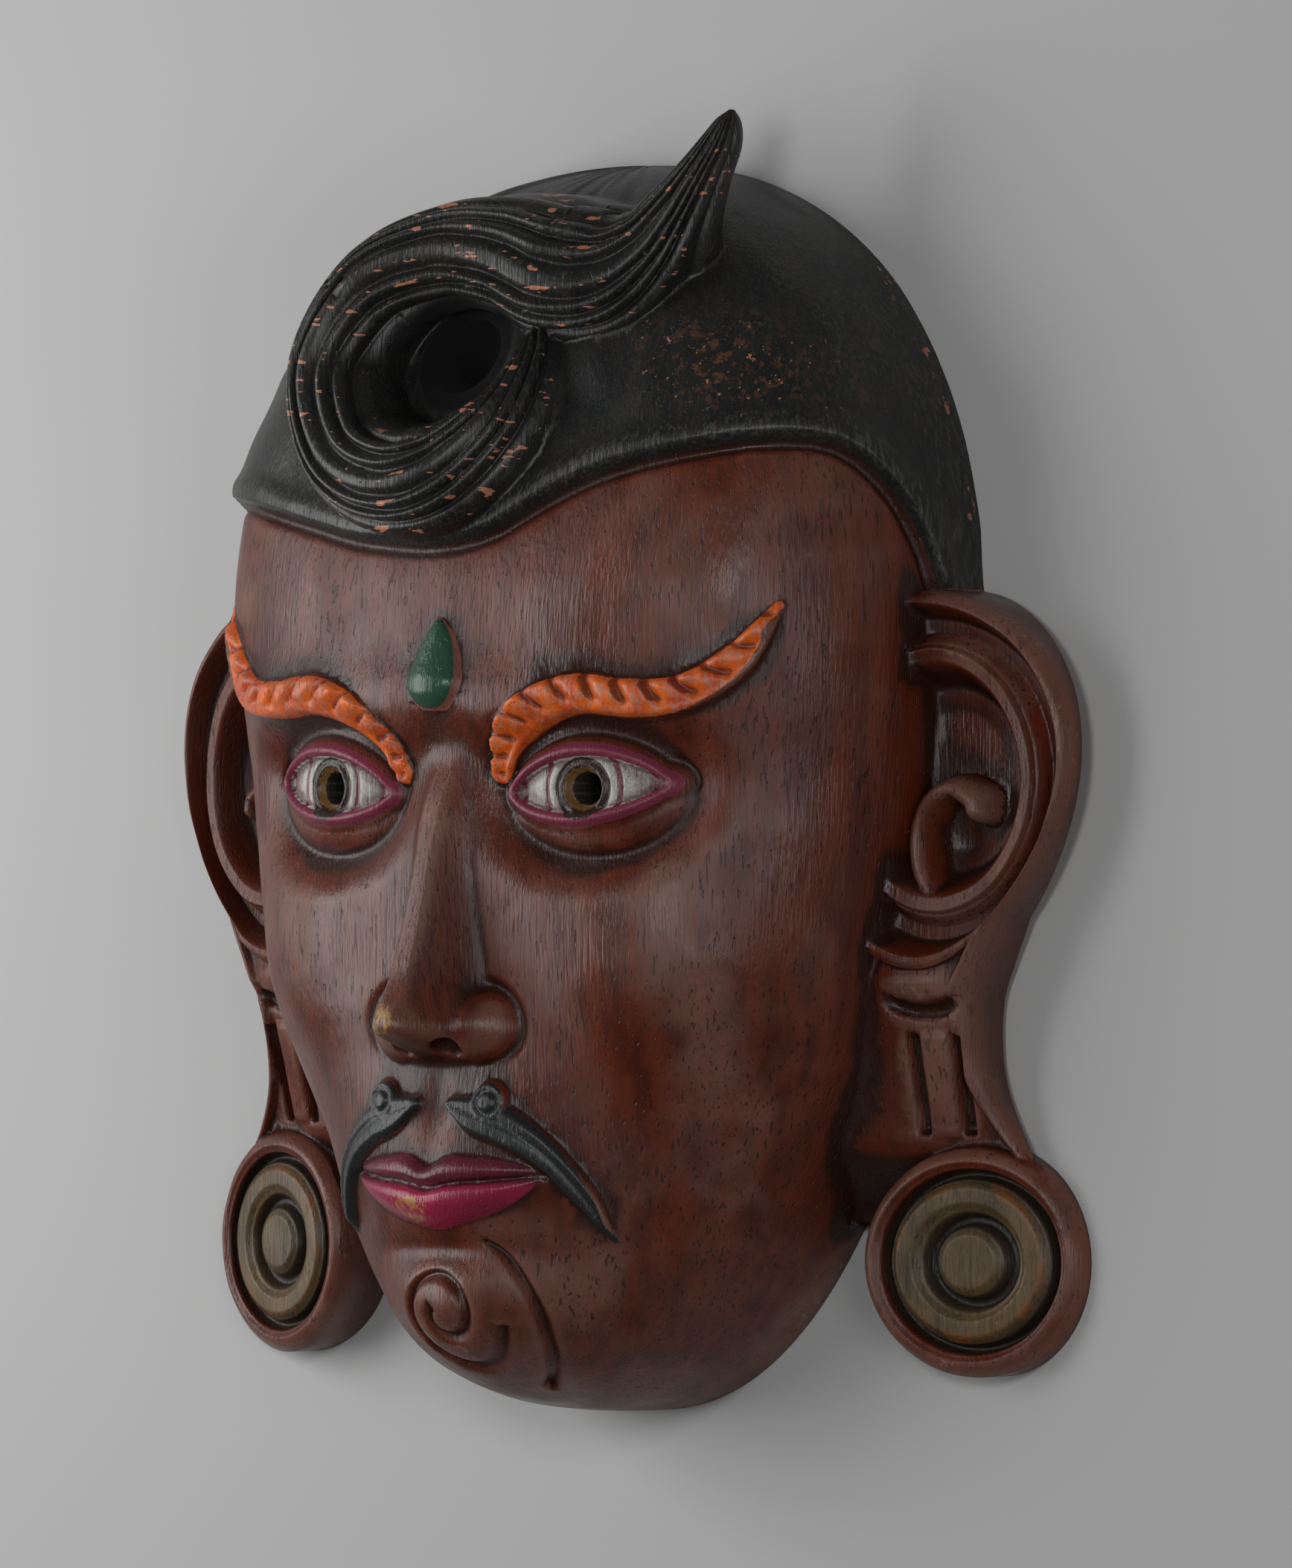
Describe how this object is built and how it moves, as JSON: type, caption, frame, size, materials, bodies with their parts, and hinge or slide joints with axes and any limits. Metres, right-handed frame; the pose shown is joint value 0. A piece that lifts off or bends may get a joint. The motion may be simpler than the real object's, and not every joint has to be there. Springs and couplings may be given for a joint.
{
  "type": "carved dance mask",
  "caption": "Carved wooden dance mask with a hollow back, a calm face, pierced pupils, a close hair cap with a swirled forelock, and long ears with disc earrings.",
  "frame": {"origin": "middle of the underside, on the plane of the flat back rim", "axes": "+X across the face to a viewer's right, +Y from the chin to the crown, +Z out of the face"},
  "size_m": [0.2652, 0.296, 0.0946],
  "materials": {
    "painted_wood": "satin varnish over stained and painted wood, worn at the edges"
  },
  "bodies": {
    "root": {"carved_mask": "painted_wood"}
  },
  "joints": []
}
